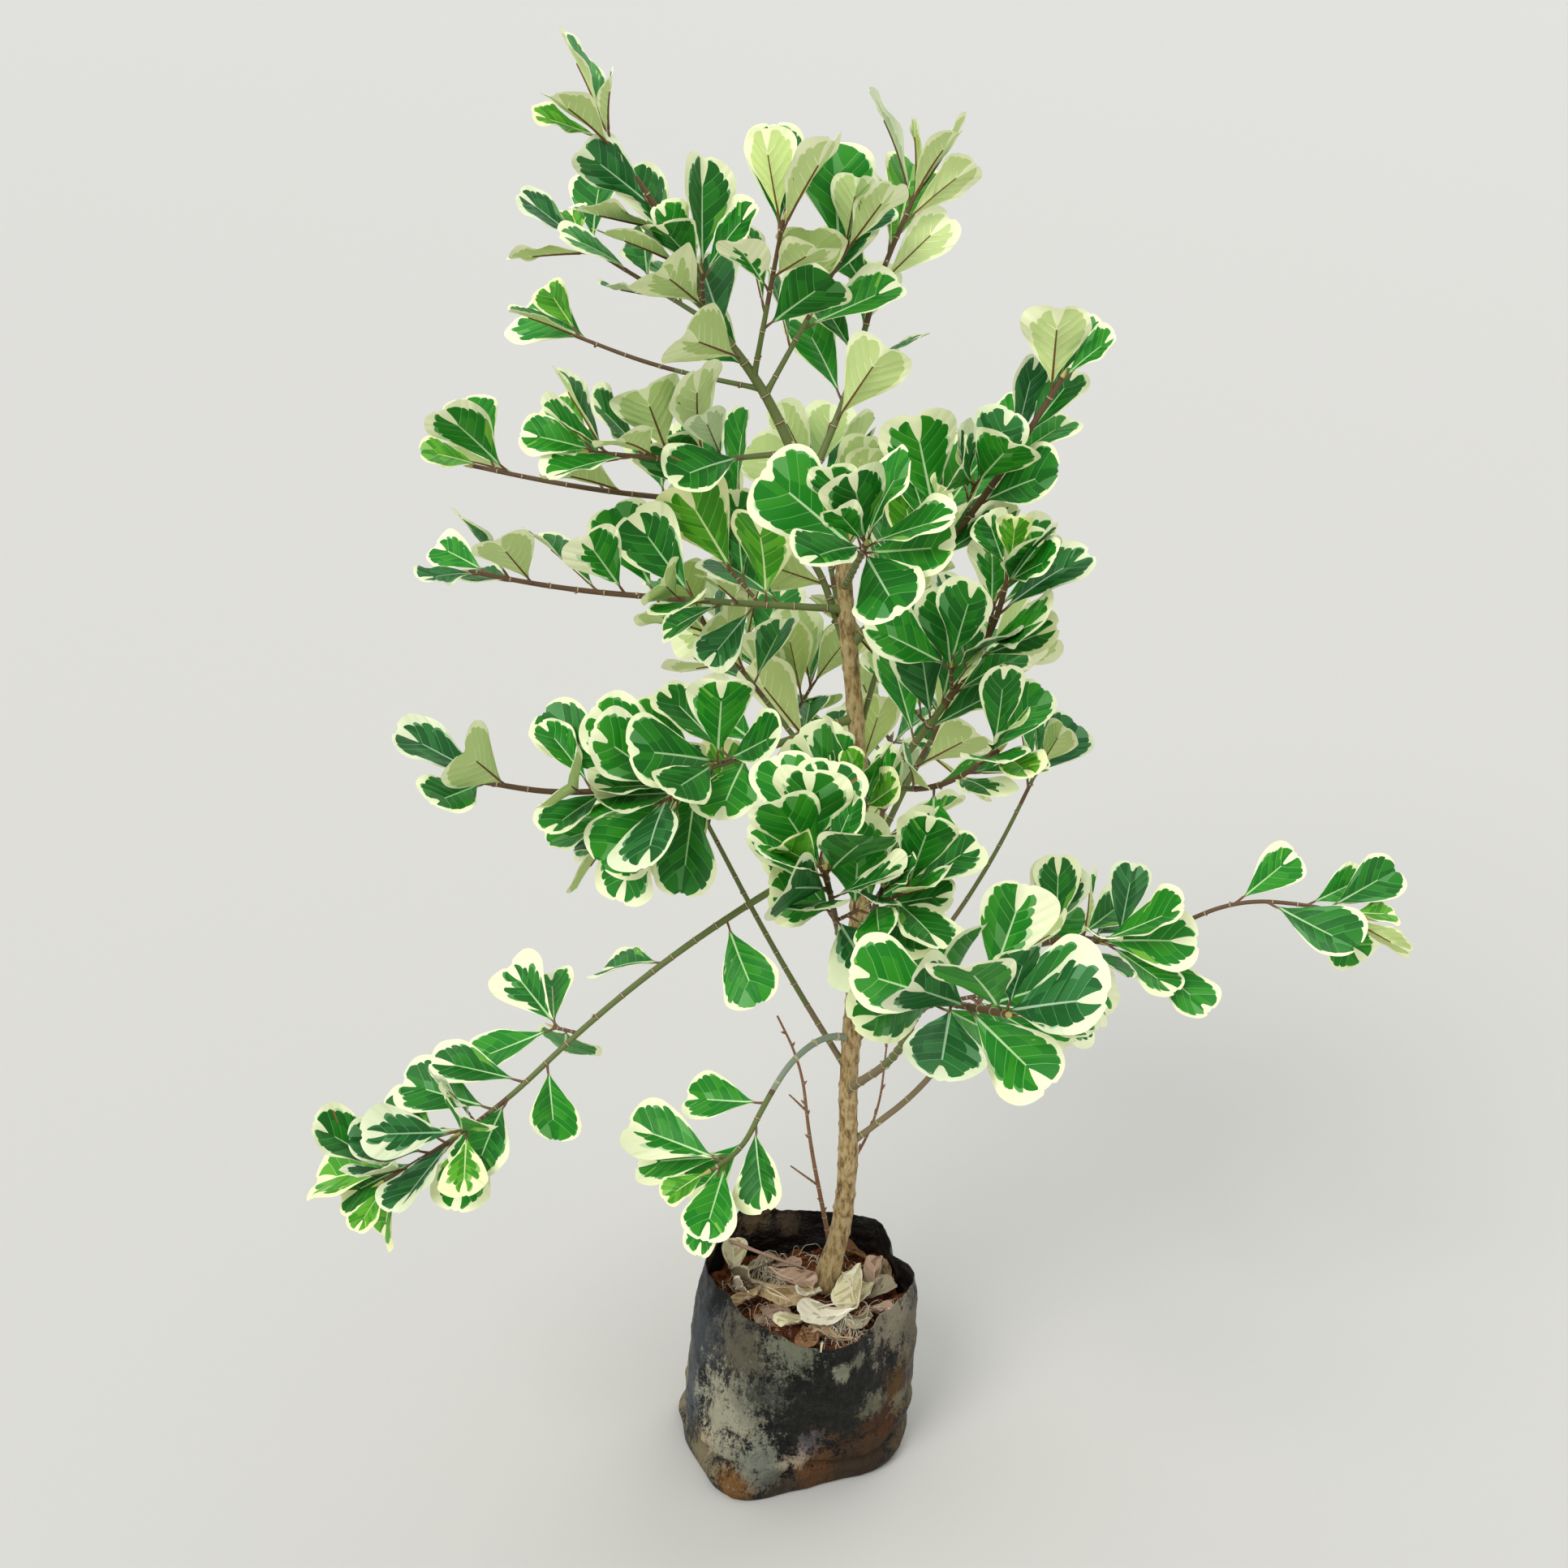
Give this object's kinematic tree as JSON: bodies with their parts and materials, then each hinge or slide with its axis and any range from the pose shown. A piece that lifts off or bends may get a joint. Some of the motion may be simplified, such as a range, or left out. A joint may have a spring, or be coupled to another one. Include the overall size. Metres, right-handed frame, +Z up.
{
  "type": "potted variegated triangle fig",
  "caption": "Young variegated triangle fig with cream-edged wedge leaves on spreading twiggy boughs, in a worn soft black grow bag of soil.",
  "frame": {"origin": "centre of the grow bag's flat underside", "axes": "+Z up, +Y away from the viewer of the picture, +X to the right in the picture"},
  "size_m": [0.7738, 0.6305, 1.0299],
  "materials": {
    "black_polythene": "dull black polythene film, dusty and clay-stained",
    "soil": "fibrous red-brown potting soil with leaf litter",
    "fig_bark": "rough tan-brown bark",
    "green_shoot": "olive green young bark with ring scars",
    "dry_twig": "dry red-brown dead twig",
    "variegated_leaf": "green leaf with cream margin and pale underside"
  },
  "bodies": {
    "root": {"bough_back_left": "green_shoot", "bough_back_low": "green_shoot", "bough_back_right": "green_shoot", "bough_back_upper": "green_shoot", "bough_front_crown": "green_shoot", "bough_front_fork": "green_shoot", "bough_front_low": "green_shoot", "bough_front_right": "green_shoot", "bough_leader": "green_shoot", "bough_left_arch": "green_shoot", "bough_left_hanging": "green_shoot", "bough_left_high": "green_shoot", "bough_left_inner": "green_shoot", "bough_left_low": "green_shoot", "bough_left_middle": "green_shoot", "bough_left_steep": "green_shoot", "bough_left_upper": "green_shoot", "bough_right_crown": "green_shoot", "bough_right_long": "green_shoot", "bough_right_middle": "green_shoot", "bough_right_rising": "green_shoot", "bough_right_upper": "green_shoot", "dead_sucker": "dry_twig", "dry_twig": "dry_twig", "foliage_back_left": "variegated_leaf", "foliage_back_low": "variegated_leaf", "foliage_back_right": "variegated_leaf", "foliage_back_upper": "variegated_leaf", "foliage_front_crown": "variegated_leaf", "foliage_front_fork": "variegated_leaf", "foliage_front_low": "variegated_leaf", "foliage_front_middle": "variegated_leaf", "foliage_front_right": "variegated_leaf", "foliage_leader": "variegated_leaf", "foliage_left_arch": "variegated_leaf", "foliage_left_hanging": "variegated_leaf", "foliage_left_high": "variegated_leaf", "foliage_left_inner": "variegated_leaf", "foliage_left_low": "variegated_leaf", "foliage_left_middle": "variegated_leaf", "foliage_left_short": "variegated_leaf", "foliage_left_steep": "variegated_leaf", "foliage_left_thin": "variegated_leaf", "foliage_left_upper": "variegated_leaf", "foliage_right_crown": "variegated_leaf", "foliage_right_inner": "variegated_leaf", "foliage_right_long": "variegated_leaf", "foliage_right_middle": "variegated_leaf", "foliage_right_rising": "variegated_leaf", "foliage_right_short": "variegated_leaf", "foliage_right_upper": "variegated_leaf", "foliage_top_left": "variegated_leaf", "foliage_top_middle": "variegated_leaf", "foliage_top_right": "variegated_leaf", "grow_bag": "black_polythene", "soil": "soil", "trunk": "fig_bark"}
  },
  "joints": []
}
